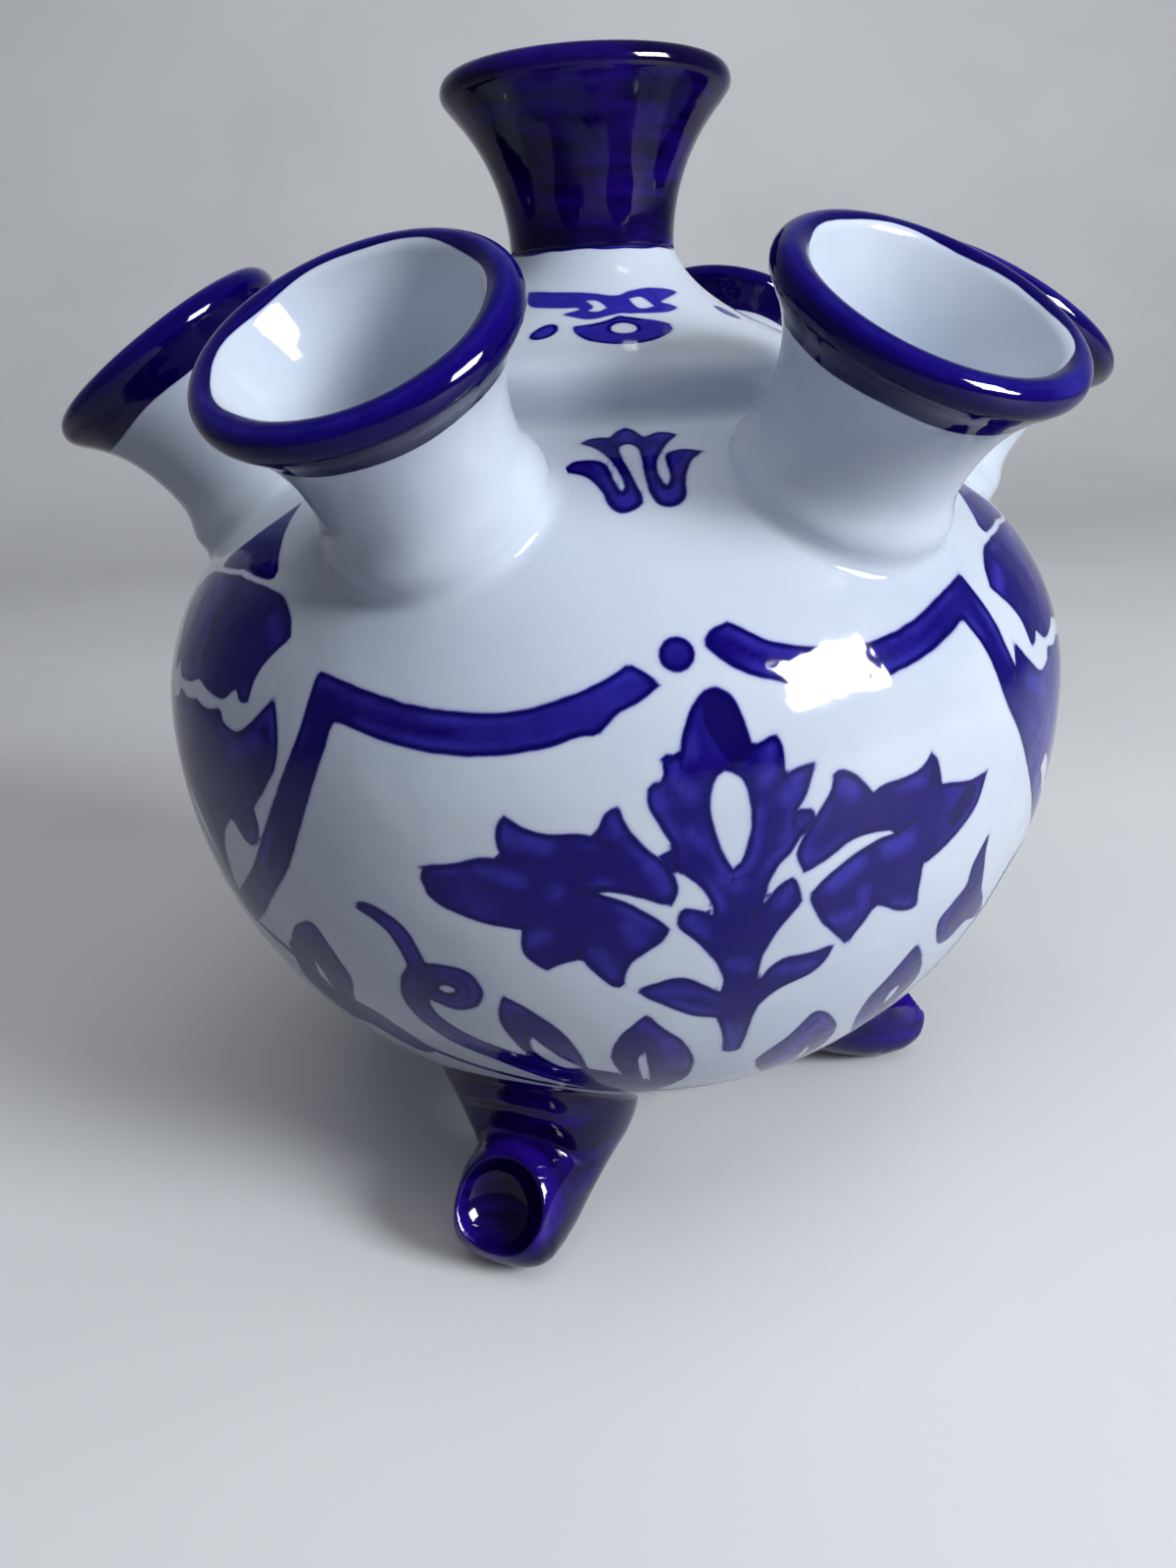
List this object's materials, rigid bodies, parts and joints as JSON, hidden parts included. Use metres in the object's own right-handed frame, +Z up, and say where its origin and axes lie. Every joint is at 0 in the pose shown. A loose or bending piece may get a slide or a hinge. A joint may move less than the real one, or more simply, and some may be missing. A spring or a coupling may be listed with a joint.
{
  "type": "tulip vase",
  "caption": "Round-bodied ceramic flower vase on scrolled feet, with a domed collar, a trumpet spout at its top and a ring of leaning trumpet spouts.",
  "frame": {"origin": "on the table, under the body's axis, at the bottom centre of the bounding box", "axes": "+Z up along the body's axis, -Y towards the front, where the gap between two leaning spouts faces, +X to the right"},
  "size_m": [0.1716, 0.1554, 0.18],
  "materials": {
    "painted_white_glaze": "glossy white glaze painted with indigo ornament",
    "lipped_white_glaze": "glossy white glaze with an indigo band round the lip",
    "white_glaze": "glossy white glaze",
    "indigo_glaze": "glossy indigo glaze"
  },
  "bodies": {
    "root": {"body_globe": "painted_white_glaze", "domed_collar": "painted_white_glaze", "collar_slip_seam": "white_glaze", "centre_spout": "indigo_glaze", "leaning_spout_1": "lipped_white_glaze", "leaning_spout_2": "lipped_white_glaze", "leaning_spout_3": "lipped_white_glaze", "leaning_spout_4": "lipped_white_glaze", "leaning_spout_5": "lipped_white_glaze", "leaning_spout_6": "lipped_white_glaze", "spout_slip_seam_1": "white_glaze", "spout_slip_seam_2": "white_glaze", "spout_slip_seam_3": "white_glaze", "spout_slip_seam_4": "white_glaze", "spout_slip_seam_5": "white_glaze", "spout_slip_seam_6": "white_glaze", "scroll_foot_1": "indigo_glaze", "scroll_foot_2": "indigo_glaze", "scroll_foot_3": "indigo_glaze", "foot_slip_seam_1": "indigo_glaze", "foot_slip_seam_2": "indigo_glaze", "foot_slip_seam_3": "indigo_glaze"}
  },
  "joints": []
}
